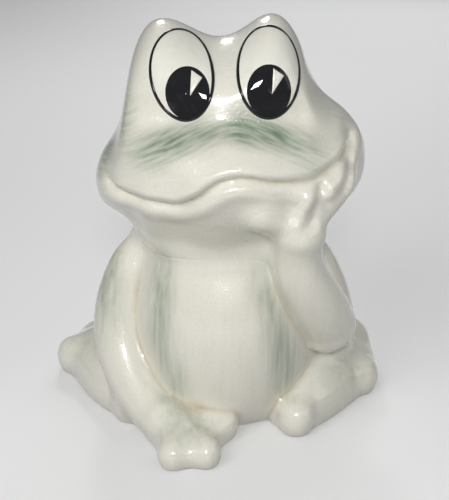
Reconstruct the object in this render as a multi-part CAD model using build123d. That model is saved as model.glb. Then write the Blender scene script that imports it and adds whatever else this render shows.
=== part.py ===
from build123d import *
import math
import os

# A seated frog ornament in glazed earthenware. The hollow torso and the hollow head are
# slip castings stuck together at a flat neck seam. Both arms and both legs are pressed
# separately and luted on, so each is trimmed to the faces that it is stuck to. The eyes
# are thin fired enamel. +Z is up, the frog faces -Y, and the origin is the middle of the
# vent hole, in the plane that the base stands on.

# Torso casting
TORSO_WIDTH = 84.0
TORSO_DEPTH = 92.0
TORSO_HEIGHT = 80.0
CASTING_WALL = 5.0
VENT_RADIUS = 9.0
# Height, half width, reach to the front and reach to the back
TORSO_SECTION_SHARES = [
    (0.00, 0.86, 0.80, 0.88),
    (0.15, 0.95, 0.945, 0.945),
    (0.38, 1.00, 1.03, 0.955),
    (0.62, 0.98, 1.03, 0.90),
    (0.82, 0.90, 0.935, 0.79),
    (1.00, 0.80, 0.81, 0.66),
]

# Head casting
HEAD_WIDTH = 110.0
HEAD_DEPTH = 90.0
HEAD_HEIGHT = 89.0
# Place across, lowest point, crown, reach to the front, reach to the back, eye bulge
HEAD_STATION_SHARES = [
    (-0.462, 0.205, 0.345, -0.235, -0.040, 0.00),
    (-0.423, 0.145, 0.440, -0.335, 0.080, 0.00),
    (-0.377, 0.105, 0.550, -0.410, 0.185, 0.15),
    (-0.341, 0.050, 0.755, -0.455, 0.240, 0.55),
    (-0.300, -0.050, 0.900, -0.498, 0.285, 0.85),
    (-0.205, -0.250, 0.972, -0.562, 0.345, 1.00),
    (-0.105, -0.250, 0.925, -0.602, 0.372, 0.95),
    (-0.014, -0.250, 0.895, -0.617, 0.378, 0.85),
    (0.075, -0.250, 0.938, -0.609, 0.376, 0.95),
    (0.160, -0.250, 0.993, -0.585, 0.355, 1.00),
    (0.236, -0.220, 0.940, -0.545, 0.325, 0.95),
    (0.286, -0.050, 0.815, -0.510, 0.295, 0.70),
    (0.335, 0.050, 0.690, -0.470, 0.255, 0.35),
    (0.400, 0.120, 0.615, -0.405, 0.180, 0.05),
    (0.464, 0.195, 0.545, -0.315, 0.080, 0.00),
    (0.500, 0.270, 0.470, -0.235, -0.020, 0.00),
]
# The cheeks' outermost points: place across, depth, height
RIGHT_CHEEK_SHARES = (-0.478, -0.140, 0.275)
LEFT_CHEEK_SHARES = (0.514, -0.130, 0.375)
# Profile through an eye, from the crown down the face and up the nape: reach, height, and
# how far the point follows the crown and the lowest point
FACE_PROFILE_SHARES = [
    (-0.09, 1.000, 1.00, 0.00),
    (-0.46, 0.930, 0.90, 0.00),
    (-0.66, 0.775, 0.60, 0.00),
    (-0.71, 0.615, 0.10, 0.00),
    (-0.88, 0.545, 0.00, 0.00),
    (-1.00, 0.440, 0.00, 0.00),
    (-0.97, 0.310, 0.00, 0.00),
    (-0.83, 0.165, 0.00, 0.20),
    (-0.68, 0.020, 0.00, 0.50),
    (-0.58, -0.140, 0.00, 0.80),
    (-0.10, -0.250, 0.00, 1.00),
    (0.74, -0.140, 0.00, 0.80),
    (0.86, 0.050, 0.00, 0.40),
    (0.95, 0.270, 0.00, 0.00),
    (0.98, 0.520, 0.20, 0.00),
    (0.74, 0.790, 0.70, 0.00),
    (0.30, 0.945, 0.95, 0.00),
]
LOWEST_SHARE = -0.25
FRONT_STEPS = 10
MOUTH_DEPTH = 1.4
MOUTH_LINE = 1.3
# The smile, from the frog's right corner to its left: place across and height
MOUTH_SHARES = [
    (-0.400, 0.335),
    (-0.340, 0.310),
    (-0.220, 0.298),
    (-0.157, 0.297),
    (-0.092, 0.341),
    (-0.022, 0.410),
    (0.057, 0.429),
    (0.144, 0.408),
    (0.225, 0.393),
    (0.299, 0.398),
    (0.365, 0.425),
    (0.422, 0.469),
    (0.436, 0.508),
]

# Eye enamel
ENAMEL = 0.6
EYE_WIDTH = 24.2
EYE_HEIGHT = 35.0
EYE_LINE = 1.0
PUPIL_WIDTH = 16.4
PUPIL_HEIGHT = 19.2
# The eyes look up by this many degrees
GAZE = 14.0
# Place across and height on the head, and lean in degrees
EYES = {
    "right": {"oval_shares": (-0.144, 0.691), "lean": 9.0, "pupil_shares": (-0.124, 0.612)},
    "left": {"oval_shares": (0.149, 0.701), "lean": 0.0, "pupil_shares": (0.149, 0.619)},
}
CATCHLIGHT_SHARES = [(0.18, 0.84), (0.66, 0.56), (0.12, -0.14)]

# Arms and hands
ARM_GIRTH = 24.0
FINGER_GIRTH = 12.0
HAND_HEIGHT = 15.0
# Arm paths: across, forward, height and girth, following the torso
RIGHT_ARM_SHARES = [
    (-0.70, 0.12, 1.00, 0.66),
    (-0.84, 0.17, 0.90, 0.80),
    (-0.98, 0.24, 0.71, 0.94),
    (-1.06, 0.32, 0.50, 1.00),
    (-1.01, 0.48, 0.32, 0.96),
    (-0.85, 0.70, 0.18, 0.86),
    (-0.62, 0.95, 0.11, 0.74),
]
LEFT_UPPER_ARM_SHARES = [
    (0.62, -0.10, 0.97, 0.66),
    (0.80, 0.00, 0.84, 0.88),
    (0.97, 0.20, 0.66, 1.00),
    (1.02, 0.48, 0.53, 1.02),
]
LEFT_FOREARM_SHARES = [
    (1.02, 0.48, 0.53, 1.02),
    (0.92, 0.63, 0.67, 1.02),
    (0.79, 0.75, 0.82, 0.96),
    (0.70, 0.85, 0.98, 0.84),
    (0.69, 0.92, 1.15, 0.76),
]
# Balls of clay at the shoulders, wrist and elbow, against the arm's girth there, and the palm
KNOB_SHARE = 1.05
PALM_SHARE = 0.86
# Hand on the ground: wrist, each finger's tip and girth, and the heel of the hand. The web's
# edge lies this much of a finger's radius outside the line between two tips.
RIGHT_HAND_SHARES = {
    "middle": (-0.50, 1.02),
    "digits": [(-0.49, 1.375, 1.00), (-0.18, 1.355, 1.00), (-0.03, 0.94, 1.10)],
    "heel": [(-0.80, 0.85), (-0.35, 0.72)],
    "web_share": 0.45,
}
# Hand at the cheek: each finger's tip and girth, following the head
LEFT_FINGER_SHARES = [
    (0.132, -0.530, 0.238, 0.85),
    (0.285, -0.490, 0.310, 0.90),
    (0.335, -0.455, 0.325, 0.80),
    (0.400, -0.405, 0.350, 0.90),
]

# Legs and webbed feet
LEG_HEIGHT = 31.0
TOE_GIRTH = 17.0
RIGHT_LEG_SHARES = {
    "middle": (-0.98, -0.10),
    "digits": [(-0.96, 0.62, 0.95), (-1.66, -0.26, 1.00), (-1.40, -0.50, 1.20)],
    "heel": [(-0.40, 0.50), (-0.40, -0.70)],
    "web_share": 0.95,
}
LEFT_LEG_SHARES = {
    "middle": (0.98, 0.00),
    "digits": [(0.72, 0.845, 0.90), (1.45, 0.13, 1.00), (1.33, -0.42, 1.50)],
    "heel": [(0.40, 0.50), (0.40, -0.70)],
    "web_share": 0.95,
}
# The haunch that the foot grows from, rear end to knee: across, forward, height, girth
HAUNCH_GIRTH = 38.0
HAUNCH_SHARES = [(0.86, -0.52, 0.27, 1.00), (1.00, 0.05, 0.24, 0.80)]
# A webbed pad's rise from the ground: height, and spread of the outline there
PAD_RISE_SHARES = [
    (0.0, 0.94), (0.12, 1.0), (0.28, 0.97), (0.44, 0.87),
    (0.62, 0.69), (0.84, 0.45), (1.0, 0.25),
]
# A digit's middle lies this much of its radius above the ground
PRESS_SHARE = 0.85


def head_point(across, depth, height):
    """A place on the head, from shares of its width, depth and height above the seam."""
    return Vector(HEAD_WIDTH * across, HEAD_DEPTH * depth, TORSO_HEIGHT + HEAD_HEIGHT * height)


def torso_point(across, forward, height):
    """A place about the torso, from shares of its half width, half depth and height."""
    return Vector(TORSO_WIDTH / 2 * across, -TORSO_DEPTH / 2 * forward, TORSO_HEIGHT * height)


def torso_loft(inset):
    """The torso's outer form, or its cavity when it is set in by the wall."""
    sections = []
    for height, width, front, back in TORSO_SECTION_SHARES:
        middle = TORSO_DEPTH / 4 * (back - front)
        half_depth = TORSO_DEPTH / 4 * (back + front) - inset
        level = Plane.XY.offset(inset + (TORSO_HEIGHT - inset) * height)
        sections.append(level * Pos(0, middle) * Ellipse(TORSO_WIDTH / 2 * width - inset, half_depth))
    return loft(sections)


def head_section(row, inset):
    """One upright slice of the head: an oval cheek that turns into the face profile."""
    across, low, crown, front, back, eye = row
    points = []
    for step, (reach, height, lift, drop) in enumerate(FACE_PROFILE_SHARES):
        if step <= FRONT_STEPS:
            turn = math.pi * step / FRONT_STEPS
        else:
            turn = math.pi * (1 + (step - FRONT_STEPS) / (len(FACE_PROFILE_SHARES) - FRONT_STEPS))
        oval_depth = (front + back) / 2 - (back - front) / 2 * math.sin(turn)
        oval_height = (crown + low) / 2 + (crown - low) / 2 * math.cos(turn)
        face_depth = reach * back if reach > 0 else -reach * front
        face_height = height + lift * (crown - 1) + drop * (low - LOWEST_SHARE)
        depth = oval_depth + eye * (face_depth - oval_depth)
        points.append(head_point(across, depth, oval_height + eye * (face_height - oval_height)))
    middle = sum(points, Vector()) / len(points)
    points = [point + (middle - point).normalized() * inset for point in points]
    edges = []
    for run, turn in ((points[:FRONT_STEPS + 1], -1), (points[FRONT_STEPS:] + points[:1], 1)):
        ends = [
            Vector(0, turn * (run[1] - run[0]).length, 0),
            Vector(0, -turn * (run[-1] - run[-2]).length, 0),
        ]
        edges.append(Edge.make_spline(run, ends, parameters=range(len(run)), scale=False))
    return make_face(edges)


def head_loft(inset):
    """The head's outer form, set in by the wall or grown by a layer of enamel."""
    across_scale = 1 - 2 * inset / HEAD_WIDTH
    rows = [(row[0] * across_scale, *row[1:]) for row in HEAD_STATION_SHARES]
    tips = [RIGHT_CHEEK_SHARES, LEFT_CHEEK_SHARES]
    ends = [Vertex(*head_point(tip[0] * across_scale, *tip[1:])) for tip in tips]
    return loft([ends[0], *[head_section(row, inset) for row in rows], ends[1]])


def limb(path_shares):
    """A length of arm: round sections along a path about the torso."""
    centres = [torso_point(*row[:3]) for row in path_shares]
    ahead = centres[1:] + centres[-1:]
    behind = centres[:1] + centres[:-1]
    sections = []
    for centre, row, after, before in zip(centres, path_shares, ahead, behind):
        along = after - before
        plane = Plane(centre, x_dir=along.cross(Vector(0, 1, 0)), z_dir=along)
        sections.append(plane * Circle(ARM_GIRTH / 2 * row[3]))
    return loft(sections)


def knob(row, size_share):
    """A ball of clay that rounds off an arm at one place of its path."""
    return Pos(*torso_point(*row[:3])) * Sphere(ARM_GIRTH / 2 * size_share)


def digit(root, tip, root_radius, tip_radius):
    """A finger or toe: a tapered rod with round ends, turned about its own axis."""
    along = tip - root
    length = along.length
    lean = (root_radius - tip_radius) / length
    rise = math.sqrt(1 - lean * lean)
    root_edge = Vector(root_radius * lean, root_radius * rise)
    tip_edge = Vector(length + tip_radius * lean, tip_radius * rise)
    root_end = Vector(-root_radius, 0)
    tip_end = Vector(length + tip_radius, 0)
    outline = [
        RadiusArc(root_end, root_edge, root_radius),
        Line(root_edge, tip_edge),
        RadiusArc(tip_edge, tip_end, tip_radius),
        Line(tip_end, root_end),
    ]
    side = Vector(0, 1, 0) if abs(along.Z) > length / 2 else Vector(0, 0, 1)
    plane = Plane(root, x_dir=along, z_dir=along.cross(side))
    return plane * revolve(make_face(outline), Axis.X)


def webbed_pad(shares, height, girth):
    """A hand or foot on the ground: a mound whose skirt is a web, with round digits."""
    middle = torso_point(*shares["middle"], 0)
    tips = [torso_point(across, forward, 0) for across, forward, size in shares["digits"]]
    radii = [girth / 2 * size for across, forward, size in shares["digits"]]
    skirt = []
    for index, (tip, radius) in enumerate(zip(tips, radii)):
        if index:
            between = (tip + tips[index - 1]) / 2
            skirt.append(between + (between - middle).normalized() * radius * shares["web_share"])
        skirt.append(tip + (tip - middle).normalized() * radius / 2)
    heel = [torso_point(*place, 0) for place in shares["heel"]]
    skirt = heel[:1] + skirt + heel[1:]
    sections = []
    for rise, spread in PAD_RISE_SHARES:
        points = [middle + (point - middle) * spread + Vector(0, 0, height * rise) for point in skirt]
        rim = Edge.make_spline(points, parameters=range(len(points)))
        sections.append(make_face([rim, Line(points[-1], points[0])]))
    root = middle + Vector(0, 0, height / 2)
    digits = [
        digit(root, tip + Vector(0, 0, radius * PRESS_SHARE), radius, radius)
        for tip, radius in zip(tips, radii)
    ]
    return split(loft(sections) + digits, Plane.XY)


def facing(shape, tilt):
    """A flat shape in the frog's front view, drawn out forward and up by the tilt."""
    view = Plane((0, 0, TORSO_HEIGHT), x_dir=(1, 0, 0), z_dir=Vector(0, -1, 0).rotate(Axis.X, -tilt))
    return extrude(view * shape, HEAD_DEPTH)


def face_place(across, height):
    """A place in the front view, from shares of the head's width and height."""
    return Pos(HEAD_WIDTH * across, HEAD_HEIGHT * height)


def eye_parts(side, eye, head_form):
    """White, outline, pupil and catchlight of one eye, each fired in a window of the last."""
    leaning = face_place(*eye["oval_shares"]) * Rot(0, 0, eye["lean"])
    rim = leaning * Ellipse(EYE_WIDTH / 2, EYE_HEIGHT / 2)
    white = leaning * Ellipse(EYE_WIDTH / 2 - EYE_LINE, EYE_HEIGHT / 2 - EYE_LINE)
    middle = face_place(*eye["pupil_shares"])
    pupil = middle * Ellipse(PUPIL_WIDTH / 2, PUPIL_HEIGHT / 2) & white
    corners = [(PUPIL_WIDTH / 2 * across, PUPIL_HEIGHT / 2 * up) for across, up in CATCHLIGHT_SHARES]
    wedge = middle * make_face(Polyline(*corners, close=True))
    gaze = Vector(0, -ENAMEL, 0).rotate(Axis.X, -GAZE)
    coat = (facing(rim, GAZE) & Pos(*gaze) * head_form) - head_form
    return {
        f"{side}_eye_white": coat & facing(white - pupil, GAZE),
        f"{side}_eye_outline": coat - facing(white, GAZE),
        f"{side}_pupil": coat & facing(pupil - wedge, GAZE),
        f"{side}_catchlight": coat & facing(wedge, GAZE),
    }


def build():
    torso_form = torso_loft(0)
    head_form = split(head_loft(0), Plane.XY.offset(TORSO_HEIGHT))
    parts = {}

    vent = Cylinder(VENT_RADIUS, 3 * CASTING_WALL)
    parts["torso"] = torso_form - torso_loft(CASTING_WALL) - vent

    smile = [(HEAD_WIDTH * across, HEAD_HEIGHT * height) for across, height in MOUTH_SHARES]
    groove = facing(trace(Spline(smile), MOUTH_LINE), 0) - head_loft(MOUTH_DEPTH)
    parts["head"] = head_form - head_loft(CASTING_WALL) - groove
    for side, eye in EYES.items():
        parts.update(eye_parts(side, eye, head_form))

    leg_forms = {}
    for side, turn, shares in (("right", -1, RIGHT_LEG_SHARES), ("left", 1, LEFT_LEG_SHARES)):
        ends = [torso_point(turn * across, forward, height) for across, forward, height, size in HAUNCH_SHARES]
        haunch = digit(*ends, *[HAUNCH_GIRTH / 2 * row[3] for row in HAUNCH_SHARES])
        leg_forms[side] = split(webbed_pad(shares, LEG_HEIGHT, TOE_GIRTH) + haunch, Plane.XY)
        parts[f"{side}_leg"] = leg_forms[side] - torso_form

    right_arm = limb(RIGHT_ARM_SHARES) + webbed_pad(RIGHT_HAND_SHARES, HAND_HEIGHT, FINGER_GIRTH)
    for row in (RIGHT_ARM_SHARES[0], RIGHT_ARM_SHARES[-1]):
        right_arm += knob(row, row[3] * KNOB_SHARE)
    left_arm = limb(LEFT_UPPER_ARM_SHARES) + limb(LEFT_FOREARM_SHARES)
    for row in (LEFT_UPPER_ARM_SHARES[0], LEFT_FOREARM_SHARES[0]):
        left_arm += knob(row, row[3] * KNOB_SHARE)
    left_arm += knob(LEFT_FOREARM_SHARES[-1], PALM_SHARE)
    palm = torso_point(*LEFT_FOREARM_SHARES[-1][:3])
    for across, depth, height, size in LEFT_FINGER_SHARES:
        radius = FINGER_GIRTH / 2 * size
        left_arm += digit(palm, head_point(across, depth, height), radius, radius)
    for side, form in {"right": right_arm, "left": left_arm}.items():
        form = split(form, Plane.XY)
        parts[f"{side}_arm"] = form - torso_form - head_form - leg_forms[side]

    return parts


os.makedirs("parts", exist_ok=True)
for name, shape in build().items():
    export_step(shape, f"parts/{name}.step")
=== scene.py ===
import math

import bpy
import numpy as np
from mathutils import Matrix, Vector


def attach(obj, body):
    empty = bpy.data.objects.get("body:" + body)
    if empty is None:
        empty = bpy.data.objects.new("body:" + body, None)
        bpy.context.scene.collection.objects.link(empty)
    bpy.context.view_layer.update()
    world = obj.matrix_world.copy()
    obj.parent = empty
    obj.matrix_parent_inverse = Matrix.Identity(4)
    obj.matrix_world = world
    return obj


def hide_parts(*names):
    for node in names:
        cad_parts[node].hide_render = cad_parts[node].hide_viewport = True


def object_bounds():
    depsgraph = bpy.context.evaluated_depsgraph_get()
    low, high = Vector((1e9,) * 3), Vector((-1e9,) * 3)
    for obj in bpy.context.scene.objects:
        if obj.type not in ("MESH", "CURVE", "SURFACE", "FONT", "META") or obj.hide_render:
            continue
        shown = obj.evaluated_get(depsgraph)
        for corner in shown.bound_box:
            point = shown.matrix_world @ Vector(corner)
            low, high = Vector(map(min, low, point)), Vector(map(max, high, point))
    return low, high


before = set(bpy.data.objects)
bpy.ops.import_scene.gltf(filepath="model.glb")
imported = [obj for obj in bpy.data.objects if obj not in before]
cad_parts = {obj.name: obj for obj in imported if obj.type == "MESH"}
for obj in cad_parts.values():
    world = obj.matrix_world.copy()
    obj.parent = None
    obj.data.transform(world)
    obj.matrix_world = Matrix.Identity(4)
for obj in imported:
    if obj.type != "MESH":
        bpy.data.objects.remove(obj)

import openvdb as vdb
from mathutils import Vector
from mathutils.bvhtree import BVHTree

cad_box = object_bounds()


# Torso: a hollow, egg-shaped casting of white earthenware, poured in a plaster mould, that
# sits on its flat rim round a vent hole. Its skin is kept as a field of distances, so that
# the wet joints can be filled and smoothed before the whole frog is glazed.
GRAIN = 0.0007
REACH = 12
DEEP = REACH * GRAIN
VENT_RADIUS = 0.009
VENT_DEPTH = 0.004

grid_start = [math.floor(value / GRAIN) - REACH for value in cad_box[0]]
grid_count = [math.ceil(value / GRAIN) + REACH - first
              for value, first in zip(cad_box[1], grid_start)]
grid_lines = [GRAIN * (first + np.arange(count, dtype=np.float32))
              for first, count in zip(grid_start, grid_count)]
across, depth, height = np.meshgrid(*grid_lines, indexing="ij", sparse=True)
spacing = vdb.createLinearTransform(GRAIN)


def skin_field(points, triangles, quads):
    """How far each grain of the grid lies outside a closed skin."""
    grid = vdb.FloatGrid.createLevelSetFromPolygons(
        points, triangles=triangles, quads=quads, transform=spacing, halfWidth=REACH)
    field = np.empty(grid_count, np.float32)
    grid.copyToArray(field, ijk=grid_start)
    return field


def grains(field):
    """The grid of a field, from which a skin can be cut."""
    grid = vdb.FloatGrid(DEEP)
    grid.copyFromArray(field, ijk=grid_start)
    grid.transform = spacing
    return grid


def clay(node):
    """The field of a piece as it comes from its mould."""
    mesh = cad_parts[node].data
    mesh.calc_loop_triangles()
    points = np.empty(3 * len(mesh.vertices), np.float32)
    mesh.vertices.foreach_get("co", points)
    triangles = np.empty(3 * len(mesh.loop_triangles), np.int32)
    mesh.loop_triangles.foreach_get("vertices", triangles)
    triangles = triangles.reshape(-1, 3).astype(np.uint32)
    return skin_field(points.reshape(-1, 3), triangles, np.empty((0, 4), np.uint32))


def filled(casting):
    """A hollow casting as its outer skin alone: what has wall on all four sides is inside."""
    wall = casting < 0
    inside = np.ones_like(wall)
    for axis in (0, 1):
        inside &= np.logical_or.accumulate(wall, axis)
        inside &= np.flip(np.logical_or.accumulate(np.flip(wall, axis), axis), axis)
    return np.where(inside & ~wall, np.float32(-DEEP), casting)


torso = filled(clay("torso"))


# Head: the second hollow casting, stuck rim to rim on the torso's neck. The lips are pressed
# up on either side of the mouth line while the clay is soft, the upper one over the lower.
HEAD_FOOT = 0.080
HEAD_WIDTH = 0.110
HEAD_HEIGHT = 0.089
# The smile, as shares of the head's width and height
MOUTH_SHARES = [
    (-0.404, 0.372), (-0.396, 0.330), (-0.340, 0.310), (-0.220, 0.298), (-0.157, 0.297),
    (-0.092, 0.341), (-0.022, 0.410), (0.057, 0.429), (0.144, 0.408), (0.225, 0.393),
    (0.299, 0.398), (0.365, 0.425), (0.422, 0.469), (0.436, 0.508), (0.425, 0.540),
]
MOUTH_STEPS = 8
UPPER_LIP = {"rise": 0.0016, "away": 0.0034, "spread": 0.0030}
LOWER_LIP = {"rise": 0.0010, "away": -0.0052, "spread": 0.0028}
MOUTH_CUT = {"rise": -0.0020, "away": 0.0, "spread": 0.0015}
# The lips sink towards the corners of the mouth, over a share of its length
LIP_FADE = 0.07
LIP_LEAST = 0.25
FRONT_FROM = -0.008
FRONT_BLEND = 0.012


def smooth_line(points, steps):
    """Points along a curve that passes through the given ones."""
    points = np.array([2 * points[0] - points[1], *points, 2 * points[-1] - points[-2]])
    line = []
    for before, first, second, after in zip(points, points[1:], points[2:], points[3:]):
        for step in np.arange(steps) / steps:
            line.append((2 * first + (second - before) * step
                         + (2 * before - 5 * first + 4 * second - after) * step ** 2
                         + (3 * first - before - 3 * second + after) * step ** 3) / 2)
    return np.array(line + [points[-2]])


def above_line(line):
    """Distance of each row of grains from a line drawn on the front, positive above it, and
    the share of the line's length at which it is nearest."""
    start, run = line[:-1], line[1:] - line[:-1]
    away = np.full((grid_count[0], grid_count[2]), np.inf)
    along = np.zeros_like(away)
    for index, ((x, z), (dx, dz)) in enumerate(zip(start, run)):
        gone = ((across[:, 0] - x) * dx + (height[0] - z) * dz) / (dx * dx + dz * dz)
        gone = np.clip(gone, 0, 1)
        side_x, side_z = across[:, 0] - x - gone * dx, height[0] - z - gone * dz
        distance = np.hypot(side_x, side_z)
        nearer = distance < abs(away)
        away = np.where(nearer, np.copysign(distance, side_z * dx - side_x * dz), away)
        along = np.where(nearer, (index + gone) / len(run), along)
    return away, along


mouth_points = [np.array((HEAD_WIDTH * x, HEAD_FOOT + HEAD_HEIGHT * z)) for x, z in MOUTH_SHARES]
over_mouth, along_mouth = above_line(smooth_line(mouth_points, MOUTH_STEPS))
lip_fade = np.clip(np.minimum(along_mouth, 1 - along_mouth) / LIP_FADE, LIP_LEAST, 1)
relief = sum(lip["rise"] * lip_fade * np.exp(-((over_mouth - lip["away"]) / lip["spread"]) ** 2)
             for lip in (UPPER_LIP, LOWER_LIP, MOUTH_CUT))
faces_front = np.clip((FRONT_FROM - depth) / FRONT_BLEND, 0, 1)
head = filled(clay("head")) - (relief[:, None, :] * faces_front).astype(np.float32)


# Arms and legs: pressed in two-part moulds and trimmed to the torso. A tool and a wet finger
# fill the gaps between the fingers and toes, so that they run into webs.
CREASE_ROUND = 0.0045
TOE_ROUND = 0.0078
WEB_RIM = 0.0045
WEB_EDGE = 0.0075
WEB_INSET = 0.0014
# How far the backs of the digits are levelled, in grains, and the rounds that even them out
WEB_LEVEL = 9
WEB_STEP = 2
WEB_ROUNDS = 12
WEB_LEAST = 0.02
HAND_TOP = 0.0120
FOOT_TOP = 0.0165


def softened(field, radius):
    """A limb whose hollows are filled to a round of that radius: grown, then worn back."""
    grown = grains(field).convertToPolygons(isovalue=radius, adaptivity=0)
    return skin_field(*grown) + np.float32(radius)


def luted(clay_a, clay_b, slip):
    """Two clays stuck together, with the crease between them filled by slip."""
    near = np.clip(1 - abs(clay_a - clay_b) / slip, 0, None)
    return np.minimum(clay_a, clay_b) - near * near * (slip / 4)


def evened(level, axis):
    """A map of heights, evened out along an axis."""
    return (np.roll(level, WEB_STEP, axis) + level + np.roll(level, -WEB_STEP, axis)) / 3


def webbed(field, highest):
    """A hand or foot on the ground with webs between its digits, level with their backs."""
    top = np.where(field < 0, height, 0).max(axis=2).clip(0, highest)
    footprint = field[:, :, int(WEB_RIM / GRAIN) - grid_start[2]]
    inside = (footprint < 0).astype(np.float32)
    for axis in (0, 1):
        shifts = range(-WEB_LEVEL, WEB_LEVEL + 1)
        top = np.max([np.roll(top, shift, axis) for shift in shifts], axis=0)
    spread_top, spread = top * inside, inside
    for _ in range(WEB_ROUNDS):
        for axis in (0, 1):
            spread_top, spread = evened(spread_top, axis), evened(spread, axis)
    level = spread_top / np.maximum(spread, WEB_LEAST)
    web = -luted(level[:, :, None] - height, -WEB_INSET - footprint[:, :, None], WEB_EDGE)
    return luted(field, np.maximum(web, -height), CREASE_ROUND)


clays = {
    "torso": torso,
    "head": head,
    "right_arm": webbed(softened(clay("right_arm"), TOE_ROUND), HAND_TOP),
    "left_arm": softened(clay("left_arm"), CREASE_ROUND),
    "right_leg": webbed(softened(clay("right_leg"), TOE_ROUND), FOOT_TOP),
    "left_leg": webbed(softened(clay("left_leg"), TOE_ROUND), FOOT_TOP),
}


# Luting: the limbs and the head are stuck on with slip, which fills each joint to a soft
# crease. The seams are fettled smooth with a wet sponge, and each piece laps under the next.
NECK_SLIP = 0.0080
LIMB_SLIP = 0.0032
CHEEK_SLIP = 0.0090
CHEEK_FROM = 0.084
CHEEK_FULL = 0.098
LAP = 0.0010
LAP_SINK = 0.08
SPONGE_ROUNDS = 3
NECK_SPONGE_ROUNDS = 40
NECK_REACH = 0.009
LAST_SPONGE_ROUNDS = 4
# Lines pressed beside the fingers at the cheek, and their raised backs: both ends as across
# and height, then rise and spread
FINGER_LINES = [
    ((0.0354, 0.1110), (0.0324, 0.0985), -0.0018, 0.0017),
    ((0.0362, 0.1125), (0.0382, 0.1060), -0.0014, 0.0015),
    ((0.0447, 0.1085), (0.0474, 0.1180), -0.0018, 0.0018),
    ((0.0262, 0.0985), (0.0322, 0.1085), 0.0011, 0.0024),
    ((0.0385, 0.1085), (0.0436, 0.1145), 0.0010, 0.0024),
]
# Old dust: how far it reaches from a joint, where it thins out upwards, its share in the mouth
DUST_REACH = 0.0028
DUST_TOP = 0.080
DUST_FADE = 0.014
MOUTH_DUST = 0.60


def sponged(field, rounds):
    """The clay with its edges rubbed soft."""
    for _ in range(rounds):
        for axis in range(3):
            field = (np.roll(field, 1, axis) + 2 * field + np.roll(field, -1, axis)) / 4
    return field


def sampled(field, points):
    """A field's values at points, straight between the grains."""
    place = points / GRAIN - np.array(grid_start)
    cell = np.floor(place).astype(int)
    part = place - cell
    value = 0
    for corner in np.ndindex(2, 2, 2):
        weight = np.prod(np.where(corner, part, 1 - part), axis=1)
        value = value + weight * field[tuple((cell + corner).T)]
    return value


body = luted(clays["torso"], clays["head"], NECK_SLIP)
on_cheek = np.clip((height - CHEEK_FROM) / (CHEEK_FULL - CHEEK_FROM), 0, 1) * (across > 0)
slip = LIMB_SLIP + (CHEEK_SLIP - LIMB_SLIP) * on_cheek
nearest = np.minimum(clays["torso"], clays["head"])
second = np.maximum(clays["torso"], clays["head"])
for limb in ("right_arm", "left_arm", "right_leg", "left_leg"):
    body = luted(body, clays[limb], slip)
    second = np.minimum(second, np.maximum(nearest, clays[limb]))
    nearest = np.minimum(nearest, clays[limb])
for start, end, rise, spread in FINGER_LINES:
    beside, _ = above_line(np.array((start, end)))
    body = body - (rise * np.exp(-(beside / spread) ** 2))[:, None, :] * faces_front
body = sponged(body.astype(np.float32), SPONGE_ROUNDS)

at_neck = abs(height[0, 0] - HEAD_FOOT) < 2 * NECK_REACH
neck = body[:, :, at_neck]
rubbed = np.exp(-((height[:, :, at_neck] - HEAD_FOOT) / NECK_REACH) ** 2)
body[:, :, at_neck] = neck + rubbed * (sponged(neck, NECK_SPONGE_ROUNDS) - neck)
vent = np.maximum(np.hypot(across, depth) - VENT_RADIUS, height - VENT_DEPTH)
body = np.maximum(np.maximum(body, -height), -vent)

mouth_groove = np.exp(-(over_mouth / MOUTH_CUT["spread"]) ** 2) * lip_fade
mouth_groove = mouth_groove[:, None, :] * faces_front


def settled_dust(points):
    """How much old dust lies at points of the skin: in the low joints and along the mouth."""
    joint = np.exp(-np.clip(sampled(second, points), 0, None) / DUST_REACH)
    joint = joint * np.clip((DUST_TOP - points[:, 2]) / DUST_FADE, 0, 1)
    return np.maximum(joint, MOUTH_DUST * sampled(mouth_groove, points)).astype(np.float32)


pieces = {}
for node, field in clays.items():
    lead = field - np.where(field == nearest, second, nearest)
    lapped = np.maximum(body + LAP_SINK * np.clip(lead, 0, None), lead - LAP)
    points, quads = grains(lapped).convertToQuads(isovalue=0)
    mesh = bpy.data.meshes.new(node)
    mesh.from_pydata(points.tolist(), [], quads.tolist())
    mesh.shade_smooth()
    dust = mesh.attributes.new("dust", "FLOAT", "POINT")
    dust.data.foreach_set("value", settled_dust(points))
    piece = bpy.data.objects.new(f"glazed_{node}", mesh)
    bpy.context.collection.objects.link(piece)
    piece.modifiers.new("sponge", "SMOOTH").iterations = LAST_SPONGE_ROUNDS
    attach(piece, "root")
    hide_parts(node)
    pieces[node] = piece


# Glaze: a cream-white, glossy glaze over sage green brushed thinly on the bisque, in strokes
# that fan out over the face and run upright below it. Old dust has turned the creases
# yellow-brown, fine crazing covers the glaze, and the foot rim under the frog is wiped bare.
CREAM = (0.780, 0.760, 0.665, 1.0)
SAGE = (0.180, 0.252, 0.165, 1.0)
STAIN = (0.420, 0.310, 0.160, 1.0)
BISQUE = (0.620, 0.520, 0.400, 1.0)
UPRIGHT_STROKES = (520.0, 300.0, 30.0)
FANNED_STROKES = (110.0, 110.0, 900.0)
STROKE_DETAIL = 4.0
FAN_MIDDLE = 0.004
FAN_ROUND = 0.008
FAN_SLOPE = 0.48
FAN_BLEND = 0.020
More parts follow.
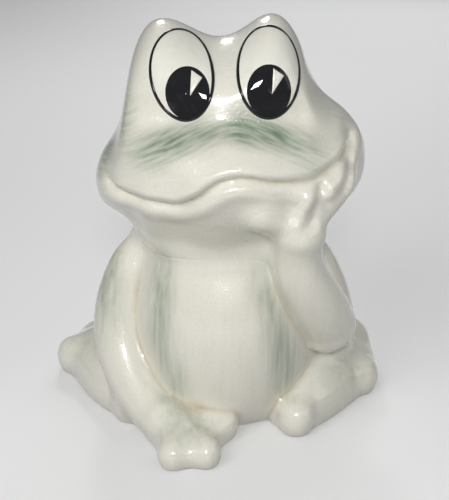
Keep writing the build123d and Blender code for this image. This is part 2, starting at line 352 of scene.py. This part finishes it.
# Middle, reach and strength of each place where the green was brushed on
SAGE_DAUBS = [
    ((-0.027, -0.045, 0.1260), (0.014, 0.014, 0.0085), 0.82),
    ((-0.014, -0.043, 0.1302), (0.014, 0.014, 0.0080), 0.82),
    ((0.000, -0.040, 0.1340), (0.013, 0.014, 0.0070), 0.60),
    ((0.012, -0.041, 0.1322), (0.013, 0.014, 0.0070), 0.98),
    ((0.024, -0.043, 0.1290), (0.012, 0.014, 0.0075), 0.65),
    ((0.033, -0.043, 0.1230), (0.010, 0.014, 0.0080), 0.45),
    ((0.006, -0.038, 0.1420), (0.006, 0.014, 0.0090), 0.25),
    ((-0.046, -0.016, 0.122), (0.010, 0.022, 0.020), 1.00),
    ((-0.039, -0.027, 0.134), (0.008, 0.016, 0.014), 0.70),
    ((0.044, -0.018, 0.138), (0.009, 0.020, 0.014), 0.35),
    ((-0.051, -0.010, 0.058), (0.011, 0.026, 0.032), 0.75),
    ((-0.025, -0.031, 0.066), (0.008, 0.014, 0.018), 0.55),
    ((-0.026, -0.036, 0.046), (0.008, 0.014, 0.020), 0.60),
    ((-0.021, -0.040, 0.026), (0.009, 0.014, 0.016), 0.55),
    ((0.015, -0.037, 0.068), (0.008, 0.014, 0.016), 0.40),
    ((0.020, -0.039, 0.050), (0.008, 0.014, 0.020), 0.60),
    ((0.025, -0.036, 0.030), (0.009, 0.014, 0.020), 0.70),
    ((0.050, -0.012, 0.014), (0.016, 0.018, 0.010), 0.35),
    ((-0.060, 0.012, 0.016), (0.014, 0.018, 0.016), 0.35),
    ((-0.014, -0.054, 0.012), (0.014, 0.012, 0.009), 0.40),
    ((0.000, 0.044, 0.050), (0.034, 0.012, 0.046), 0.30),
    ((0.000, 0.030, 0.130), (0.040, 0.014, 0.044), 0.22),
]
DAUB_EDGE = 1.25
DAUB_FULL = 0.1
STREAK_RANGE = (0.15, 0.85)
STREAK_SHARE = 0.75
WASH_SHARE = 0.33
HAZE_RANGE = (0.45, 0.85)
HAZE_SHARE = 0.06
# Dirt that has dried in the corner between the hand and the belly
DEPOSIT = ((-0.0138, -0.0458, 0.0146), (0.0070, 0.0060, 0.0035), 0.55)
DEPOSIT_RANGE = (0.35, 0.60)
PATCHES = (60.0, 60.0, 45.0)
PATCH_DETAIL = 3.0
PATCH_RANGE = (0.30, 0.62)
DUST_RANGE = (0.22, 1.0)
DUST_SHARE = 0.75
CRAZE_SCALE = 640.0
CRAZE_RANGE = (0.12, 0.0)
CRAZE_SHARE = 0.07
SPECK_SCALE = 70.0
SPECK_RANGE = (0.028, 0.020)
BARE_RANGE = (0.0011, 0.0004)
GLAZE_ROUGHNESS = 0.18
STROKE_ROUGHNESS = 0.10
BISQUE_ROUGHNESS = 0.45
STROKE_RELIEF = 0.25
CRAZE_RELIEF = 0.16
GLAZE_RELIEF = 0.00020


class Tone:
    """A socket of a finish: sums on it add Math nodes, and add() brings in any other node."""

    def __init__(self, tree, socket=None):
        self.tree = tree
        self.socket = socket

    def add(self, kind, settings, sockets, output=0):
        node = self.tree.nodes.new("ShaderNode" + kind)
        for name, value in settings.items():
            setattr(node, name, value)
        for name, value in sockets.items():
            if isinstance(value, Tone):
                self.tree.links.new(value.socket, node.inputs[name])
            else:
                node.inputs[name].default_value = value
        return Tone(self.tree, node.outputs[output] if len(node.outputs) else None)

    def sum(self, operation, first, second):
        return self.add("Math", {"operation": operation}, {0: first, 1: second})

    def __add__(self, other):
        return self.sum("ADD", self, other)

    __radd__ = __add__

    def __sub__(self, other):
        return self.sum("SUBTRACT", self, other)

    def __rsub__(self, other):
        return self.sum("SUBTRACT", other, self)

    def __mul__(self, other):
        return self.sum("MULTIPLY", self, other)

    def __pow__(self, other):
        return self.sum("POWER", self, other)

    def ramp(self, low, high):
        """0 at low, 1 at high, eased between them."""
        return self.add("MapRange", {"interpolation_type": "SMOOTHSTEP"},
                        {"Value": self, "From Min": low, "From Max": high})

    def vector(self, operation, other, output=0):
        return self.add("VectorMath", {"operation": operation}, {0: self, 1: other}, output)

    def tint(self, colour, mask, ground=None):
        """This colour, or a plain ground, turned to another where the mask is 1."""
        return self.add("Mix", {"data_type": "RGBA"},
                        {"Factor": mask, 6: ground or self, 7: colour}, 2)

    def noise(self, scale, detail):
        """Noise at a place, stretched by a scale along each axis."""
        return self.add("TexNoise", {}, {
            "Vector": self.vector("MULTIPLY", scale), "Scale": 1.0, "Detail": detail})

    def daub(self, middle, reach, strength):
        """A soft spot at a place: full about its middle, and gone a little past its reach."""
        away = self.vector("SUBTRACT", middle).vector("DIVIDE", reach)
        return away.vector("LENGTH", (0, 0, 0), "Value").ramp(DAUB_EDGE, DAUB_FULL) * strength

    def bump(self, distance):
        return self.add("Bump", {}, {"Height": self, "Strength": 1.0, "Distance": distance})


def finish(name):
    """A new material, with the first tone of its node tree."""
    material = bpy.data.materials.new(name)
    material.use_nodes = True
    material.node_tree.nodes.clear()
    return material, Tone(material.node_tree)


def surface(tone, sockets):
    """Sends a shader of these sockets to the material's output."""
    shader = tone.add("BsdfPrincipled", {}, sockets)
    tone.add("OutputMaterial", {}, {"Surface": shader})


glaze, tone = finish("cream_glaze")
place = tone.add("TexCoord", {}, {}, "Object")
x, y, z = [place.add("SeparateXYZ", {}, {"Vector": place}, axis) for axis in "XYZ"]
fan = ((x - FAN_MIDDLE) ** 2 + FAN_ROUND ** 2) ** 0.5 * FAN_SLOPE + z
fanned_place = tone.add("CombineXYZ", {}, {"X": x, "Y": y, "Z": fan})
fanned = fanned_place.noise(FANNED_STROKES, STROKE_DETAIL)
upright = place.noise(UPRIGHT_STROKES, STROKE_DETAIL)
on_head = z.ramp(HEAD_FOOT, HEAD_FOOT + FAN_BLEND)
strokes = fanned * on_head + upright * (1 - on_head)
green = sum(place.daub(*daub) for daub in SAGE_DAUBS)
green = green * (strokes.ramp(*STREAK_RANGE) * STREAK_SHARE + WASH_SHARE)
green = green + strokes.ramp(*HAZE_RANGE) * HAZE_SHARE
patches = place.noise(PATCHES, PATCH_DETAIL)
dust = tone.add("Attribute", {"attribute_name": "dust"}, {}, "Fac")
stain = dust.ramp(*DUST_RANGE) * patches.ramp(*PATCH_RANGE) * DUST_SHARE
stain = stain + place.daub(*DEPOSIT) * patches.ramp(*DEPOSIT_RANGE)
craze = tone.add("TexVoronoi", {"feature": "DISTANCE_TO_EDGE"},
                 {"Vector": place, "Scale": CRAZE_SCALE}).ramp(*CRAZE_RANGE)
specks = tone.add("TexVoronoi", {}, {"Vector": place, "Scale": SPECK_SCALE}).ramp(*SPECK_RANGE)
bare = z.ramp(*BARE_RANGE)
colour = tone.tint(SAGE, green, CREAM).tint(STAIN, stain).tint(SAGE, craze * CRAZE_SHARE)
colour = colour.tint(STAIN, specks).tint(BISQUE, bare)
surface(tone, {
    "Base Color": colour,
    "Roughness": bare * BISQUE_ROUGHNESS + (strokes * STROKE_ROUGHNESS + GLAZE_ROUGHNESS),
    "Coat Weight": 1 - bare,
    "Coat Roughness": 0.05,
    "Coat IOR": 1.55,
    "Normal": (strokes * STROKE_RELIEF - craze * CRAZE_RELIEF).bump(GLAZE_RELIEF),
})
for piece in pieces.values():
    piece.data.materials.append(glaze)


# Eyes: ovals of white enamel, ringed and filled with black, laid on the eye domes with a full
# brush and fired, so that each coat stands up a little and rounds off at its edge.
EYE_WIDTH = 0.0242
EYE_HEIGHT = 0.0350
EYE_LINE = 0.0013
PUPIL_WIDTH = 0.0164
PUPIL_HEIGHT = 0.0192
GAZE = math.radians(14)
EYES = {
    "right": {"lean": math.radians(9), "oval_shares": (-0.144, 0.691),
              "pupil_shares": (-0.124, 0.612)},
    "left": {"lean": 0.0, "oval_shares": (0.149, 0.701), "pupil_shares": (0.149, 0.619)},
}
# Corners of the catchlight, as shares of the pupil's half width and half height
CATCHLIGHT_SHARES = [(0.12, -0.14), (0.66, 0.56), (0.18, 0.84)]
COAT = 0.00022
SWELL = 0.00055
# How high the pupil and the catchlight lie on the white, in coats
PUPIL_COATS = 0.6
CATCHLIGHT_COATS = 2.0
TURN_STEPS = 96
RING_STEPS = 14
FIRST_RING = 0.01
LINE_PROBE = 0.05
LINE_SHARES = [-1.0, -0.7, -0.3, 0.0, 0.3, 0.7, 1.0]
TRIM_STEP = 0.01
CATCHLIGHT_RINGS = [0.02, 0.4, 0.7, 0.9, 1.0]
CATCHLIGHT_STEPS = 8
IVORY = (0.800, 0.785, 0.700, 1.0)
OLD_IVORY = (0.690, 0.655, 0.530, 1.0)
OLD_IVORY_RANGE = (0.48, 0.78)
OLD_IVORY_SHARE = 0.45
IVORY_STROKES = (260.0, 260.0, 130.0)
IVORY_RELIEF = 0.00018
JET = (0.0075, 0.0078, 0.0100, 1.0)
WORN_JET = (0.014, 0.014, 0.016, 1.0)
WORN_JET_RANGE = (0.50, 0.80)
JET_STROKES = (420.0, 420.0, 260.0)
JET_RELIEF = 0.00016

white_enamel, tone = finish("white_enamel")
brushed = tone.add("TexCoord", {}, {}, "Object").noise(IVORY_STROKES, STROKE_DETAIL)
surface(tone, {
    "Base Color": tone.tint(OLD_IVORY, brushed.ramp(*OLD_IVORY_RANGE) * OLD_IVORY_SHARE, IVORY),
    "Roughness": brushed * 0.10 + 0.16,
    "Coat Weight": 1.0,
    "Coat Roughness": 0.04,
    "Normal": brushed.bump(IVORY_RELIEF),
})

black_enamel, tone = finish("black_enamel")
brushed = tone.add("TexCoord", {}, {}, "Object").noise(JET_STROKES, STROKE_DETAIL)
surface(tone, {
    "Base Color": tone.tint(WORN_JET, brushed.ramp(*WORN_JET_RANGE), JET),
    "Roughness": brushed * 0.16 + 0.06,
    "Specular IOR Level": 0.0,
    "Coat Weight": 1.0,
    "Coat Roughness": 0.03,
    "Normal": brushed.bump(JET_RELIEF),
})

gaze_up = Vector((0, math.sin(GAZE), math.cos(GAZE)))
gaze_out = Vector((0, -math.cos(GAZE), math.sin(GAZE)))
gaze_foot = Vector((0, 0, HEAD_FOOT))
coat_out = (gaze_out + gaze_up / 2).normalized()
eye_dome = BVHTree.FromObject(pieces["head"], bpy.context.evaluated_depsgraph_get())


def on_dome(x, up, rise):
    """The place on the head behind a point of the face's front view, raised by a coat."""
    start = gaze_foot + Vector((x, 0, 0)) + gaze_up * up + gaze_out * HEAD_WIDTH
    return eye_dome.ray_cast(start, -gaze_out)[0] + coat_out * rise


def coat(name, node, enamel, rings):
    """A closed coat on the eye dome: rings of (x, up, rise), from its middle or inner edge out."""
    tops = [[on_dome(*spot) for spot in ring] for ring in rings]
    backs = [[on_dome(x, up, -COAT) for x, up, _ in ring] for ring in rings]
    rows = tops + backs[::-1]
    turns = len(rings[0])
    faces = []
    for row in range(len(rows)):
        here, there = row * turns, (row + 1) % len(rows) * turns
        for turn in range(turns):
            beside = (turn + 1) % turns
            faces.append((here + turn, there + turn, there + beside, here + beside))
    mesh = bpy.data.meshes.new(name)
    mesh.from_pydata([tuple(point) for row in rows for point in row], [], faces)
    mesh.validate()
    mesh.shade_smooth()
    mesh.materials.append(enamel)
    piece = bpy.data.objects.new(name, mesh)
    bpy.context.collection.objects.link(piece)
    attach(piece, "root")
    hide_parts(node)


def swell(part):
    """How far a full brush load stands up, from 1 in the middle to 0 at the edge."""
    return math.sqrt(max(1 - part * part, 0))


class Eye:
    """A painted eye in the face's front view: its oval of white, its line and its pupil."""

    def __init__(self, lean, oval_shares, pupil_shares):
        self.lean_cos, self.lean_sin = math.cos(lean), math.sin(lean)
        self.oval_x, self.oval_up = HEAD_WIDTH * oval_shares[0], HEAD_HEIGHT * oval_shares[1]
        self.pupil_x, self.pupil_up = HEAD_WIDTH * pupil_shares[0], HEAD_HEIGHT * pupil_shares[1]

    def oval(self, part, turn, rise):
        """A spot of the oval: its share of the way out, its turn and its rise."""
        x = part * EYE_WIDTH / 2 * math.cos(turn)
        up = part * EYE_HEIGHT / 2 * math.sin(turn)
        return (self.oval_x + x * self.lean_cos - up * self.lean_sin,
                self.oval_up + x * self.lean_sin + up * self.lean_cos, rise)

    def oval_place(self, x, up):
        """Share of the way from the oval's middle to its edge, and the turn there."""
        x, up = x - self.oval_x, up - self.oval_up
        along = (x * self.lean_cos + up * self.lean_sin) / EYE_WIDTH
        upward = (up * self.lean_cos - x * self.lean_sin) / EYE_HEIGHT
        return 2 * math.hypot(along, upward), math.atan2(upward, along)

    def line_part(self, turn):
        """Width of the black line as a share of the way out, nearly even on the sloping dome."""
        edge, probe = self.oval(1, turn, 0), self.oval(1 - LINE_PROBE, turn, 0)
        laid = (on_dome(*edge) - on_dome(*probe)).length / LINE_PROBE
        drawn = math.hypot(EYE_WIDTH / 2 * math.cos(turn), EYE_HEIGHT / 2 * math.sin(turn))
        return EYE_LINE / math.sqrt(drawn * laid)

    def white_rise(self, part, turn):
        """How far the white stands up: it ends under the middle of the black line."""
        return COAT + SWELL * swell(min(part / (1 - self.line_part(turn) / 2), 1))

    def on_white(self, x, up, rise):
        """A spot laid on the white, or on the head where the white ends, from the pupil's middle."""
        x, up = self.pupil_x + x, self.pupil_up + up
        return x, up, rise + self.white_rise(*self.oval_place(x, up))

    def pupil_edge(self, turn):
        """Reach of the pupil at a turn, cut off where the white ends."""
        x, up = PUPIL_WIDTH / 2 * math.cos(turn), PUPIL_HEIGHT / 2 * math.sin(turn)
        shrink = 1.0
        while self.oval_place(self.pupil_x + x * shrink, self.pupil_up + up * shrink)[0] > 1:
            shrink -= TRIM_STEP
        return x * shrink, up * shrink


turns = [2 * math.pi * turn / TURN_STEPS for turn in range(TURN_STEPS)]
parts = [max(math.sin(math.pi / 2 * ring / RING_STEPS), FIRST_RING)
         for ring in range(RING_STEPS + 1)]
corners = [np.array((PUPIL_WIDTH / 2 * x, PUPIL_HEIGHT / 2 * up)) for x, up in CATCHLIGHT_SHARES]
middle = sum(corners) / len(corners)
rim = [corner + (following - corner) * step / CATCHLIGHT_STEPS
       for corner, following in zip(corners, corners[1:] + corners[:1])
       for step in range(CATCHLIGHT_STEPS)]

for side, layout in EYES.items():
    eye = Eye(**layout)
    edges = [1 - eye.line_part(turn) / 2 for turn in turns]
    coat(f"{side}_white_oval", f"{side}_eye_white", white_enamel, [
        [eye.oval(part * edge, turn, eye.white_rise(part * edge, turn))
         for edge, turn in zip(edges, turns)]
        for part in parts])

    coat(f"{side}_black_ring", f"{side}_eye_outline", black_enamel, [
        [eye.oval(1 - eye.line_part(turn) * (1 - share) / 2, turn, COAT + SWELL * swell(share))
         for turn in turns]
        for share in LINE_SHARES])

    edges = [eye.pupil_edge(turn) for turn in turns]
    coat(f"{side}_black_pupil", f"{side}_pupil", black_enamel, [
        [eye.on_white(part * x, part * up, COAT * (PUPIL_COATS + swell(part))) for x, up in edges]
        for part in parts])

    coat(f"{side}_white_wedge", f"{side}_catchlight", white_enamel, [
        [eye.on_white(*(middle + part * (spot - middle)), COAT * (CATCHLIGHT_COATS + swell(part)))
         for spot in rim]
        for part in CATCHLIGHT_RINGS])


# The stand for the picture: a plain pale floor in a tent of cloth, soft lamps in front, at one
# side and behind, a smaller lamp near the camera with its twin at the back, and a camera that
# looks down at the frog from the front.
FLOOR_REACH = 4.0
FLOOR_SHADE = (0.16, 0.158, 0.155, 1.0)
FLOOR_SEEN = (0.66, 0.66, 0.66, 1.0)
FLOOR_GLOW = (0.18, 0.18, 0.18, 1.0)
BLACK = (0.0, 0.0, 0.0, 1.0)
TENT_CLOTH = (0.95, 0.96, 0.98, 1.0)
TENT_LIGHT = 0.08
TENT_SEEN = 0.28
LAMPS = {
    "tent": {"place": (-0.50, -0.62, 0.58), "reach": 0.60, "power": 3.8, "mirrored": False},
    "flash": {"place": (0.00, -0.60, 0.42), "reach": 0.11, "power": 2.4, "mirrored": True},
    "side": {"place": (0.85, -0.25, 0.50), "reach": 0.60, "power": 0.8, "mirrored": True},
    "back": {"place": (0.25, 0.95, 0.60), "reach": 0.90, "power": 4.4, "mirrored": False},
    "back_flash": {"place": (-0.10, 0.62, 0.50), "reach": 0.12, "power": 0.7, "mirrored": True},
}
LAMP_AIM = Vector((0, 0, 0.085))
CAMERA_PLACE = (0.0, -0.381, 0.2359)
CAMERA_TILT = math.radians(66)
CAMERA_LENS = 69.05
CAMERA_NEAR = 0.01


def seen_rays(tone):
    """1 where the floor or the cloth is looked at or mirrored, 0 where it lights the frog."""
    rays = [tone.add("LightPath", {}, {}, f"Is {kind} Ray")
            for kind in ("Camera", "Glossy", "Transmission")]
    return sum(rays).ramp(0.0, 1.0)


floor_corners = [(x * FLOOR_REACH, y * FLOOR_REACH, 0)
                 for x, y in ((-1, -1), (1, -1), (1, 1), (-1, 1))]
floor_mesh = bpy.data.meshes.new("floor")
floor_mesh.from_pydata(floor_corners, [], [(0, 1, 2, 3)])
floor = bpy.data.objects.new("floor", floor_mesh)
bpy.context.collection.objects.link(floor)
pale_floor, tone = finish("pale_floor")
seen = seen_rays(tone)
surface(tone, {
    "Base Color": tone.tint(FLOOR_SEEN, seen, FLOOR_SHADE),
    "Emission Color": tone.tint(FLOOR_GLOW, seen, BLACK),
    "Emission Strength": 1.0,
    "Roughness": 0.6,
})
floor_mesh.materials.append(pale_floor)

for name, lamp in LAMPS.items():
    light = bpy.data.lights.new(name, "AREA")
    light.size = lamp["reach"]
    light.energy = lamp["power"]
    holder = bpy.data.objects.new(name, light)
    holder.location = lamp["place"]
    aim = LAMP_AIM - Vector(lamp["place"])
    holder.rotation_euler = aim.to_track_quat("-Z", "Y").to_euler()
    holder.visible_glossy = lamp["mirrored"]
    bpy.context.collection.objects.link(holder)

world = bpy.data.worlds.new("tent_cloth")
world.use_nodes = True
world.node_tree.nodes.clear()
tone = Tone(world.node_tree)
glow = tone.add("Background", {}, {"Color": TENT_CLOTH, "Strength": TENT_LIGHT})
cloth = tone.add("Background", {}, {"Color": TENT_CLOTH, "Strength": TENT_SEEN})
tent = tone.add("MixShader", {}, {"Fac": seen_rays(tone), 1: glow, 2: cloth})
tone.add("OutputWorld", {}, {"Surface": tent})
bpy.context.scene.world = world

camera = bpy.data.objects.new("camera", bpy.data.cameras.new("camera"))
camera.location = CAMERA_PLACE
camera.rotation_euler = (CAMERA_TILT, 0, 0)
camera.data.lens = CAMERA_LENS
camera.data.clip_start = CAMERA_NEAR
bpy.context.collection.objects.link(camera)
bpy.context.scene.camera = camera
bpy.context.scene.view_settings.view_transform = "Standard"
